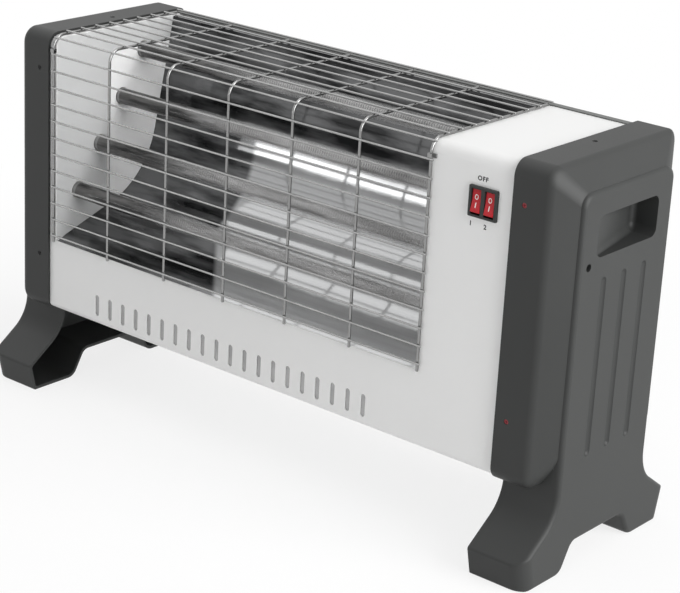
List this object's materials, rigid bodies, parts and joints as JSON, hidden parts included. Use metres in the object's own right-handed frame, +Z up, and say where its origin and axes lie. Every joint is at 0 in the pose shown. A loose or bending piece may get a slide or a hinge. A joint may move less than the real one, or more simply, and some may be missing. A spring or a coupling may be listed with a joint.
{
  "type": "electric bar heater",
  "caption": "Radiant heater with quartz tubes before a curved reflector in a folded sheet body with a wire guard, rocker switch and moulded end covers that form the legs.",
  "frame": {"origin": "on the floor below the middle of the feet", "axes": "+X along the body towards the switch end, +Y towards the back, +Z up"},
  "size_m": [0.626, 0.214, 0.3458],
  "materials": {
    "cover_plastic": "fine spark-eroded grain",
    "body_paint": "white powder coat",
    "back_paint": "dark powder coat",
    "plate_steel": "galvanised",
    "chamber_plate": "light grey coat",
    "bright_plate": "bright rolled",
    "reflector_sheet": "polished",
    "guard_wire": "bright plated",
    "smoked_quartz": "clear, smoky",
    "heating_wire": "oxidised",
    "holder_ceramic": "unglazed",
    "terminal_brass": "plain",
    "switch_plastic": "fine grain",
    "rocker_plastic": "glossy",
    "small_steel": "zinc plated",
    "screw_black": "blackened",
    "screw_red": "lacquered",
    "block_plastic": "natural",
    "tilt_plastic": "plain",
    "cutout_plastic": "moulded",
    "lead_rubber": "silicone sleeve",
    "gland_plastic": "moulded"
  },
  "bodies": {
    "heater": {"left_side_cover": "cover_plastic", "right_side_cover": "cover_plastic", "outer_shell": "body_paint", "back_panel": "back_paint", "left_side_plate": "plate_steel", "right_side_plate": "plate_steel", "left_end_plate": "chamber_plate", "right_end_plate": "chamber_plate", "left_heat_shield": "bright_plate", "reflector": "reflector_sheet", "guard_front_wires": "guard_wire", "guard_top_wires": "guard_wire", "guard_cross_wires": "guard_wire", "guard_clips": "guard_wire", "quartz_tube_1": "smoked_quartz", "quartz_tube_2": "smoked_quartz", "quartz_tube_3": "smoked_quartz", "quartz_tube_4": "smoked_quartz", "heating_coil_1": "heating_wire", "heating_coil_2": "heating_wire", "heating_coil_3": "heating_wire", "heating_coil_4": "heating_wire", "left_ceramic_1": "holder_ceramic", "left_ceramic_2": "holder_ceramic", "left_ceramic_3": "holder_ceramic", "left_ceramic_4": "holder_ceramic", "right_ceramic_1": "holder_ceramic", "right_ceramic_2": "holder_ceramic", "right_ceramic_3": "holder_ceramic", "right_ceramic_4": "holder_ceramic", "left_studs": "terminal_brass", "right_studs": "terminal_brass", "left_link_straps": "terminal_brass", "switch_housing": "switch_plastic", "rocker_pin": "small_steel", "switch_tabs": "terminal_brass", "terminal_block": "block_plastic", "terminal_screws": "small_steel", "tilt_switch": "tilt_plastic", "thermal_cutout": "cutout_plastic", "inner_leads": "lead_rubber", "cable_gland": "gland_plastic", "left_front_screws": "screw_black", "right_front_screws": "screw_red", "top_screws": "screw_black", "well_screws": "small_steel", "rear_screws": "screw_black"},
    "rocker_1": {"rocker_1": "rocker_plastic"},
    "rocker_2": {"rocker_2": "rocker_plastic"}
  },
  "joints": [
    {"name": "rocker_1_tilt", "type": "hinge", "parent": "heater", "child": "rocker_1", "pos_m": [0.22465, -0.07815, 0.3022], "axis": [1, 0, 0], "range_deg": [0, 16]},
    {"name": "rocker_2_tilt", "type": "hinge", "parent": "heater", "child": "rocker_2", "pos_m": [0.23755, -0.07815, 0.3022], "axis": [1, 0, 0], "range_deg": [0, 16]}
  ]
}
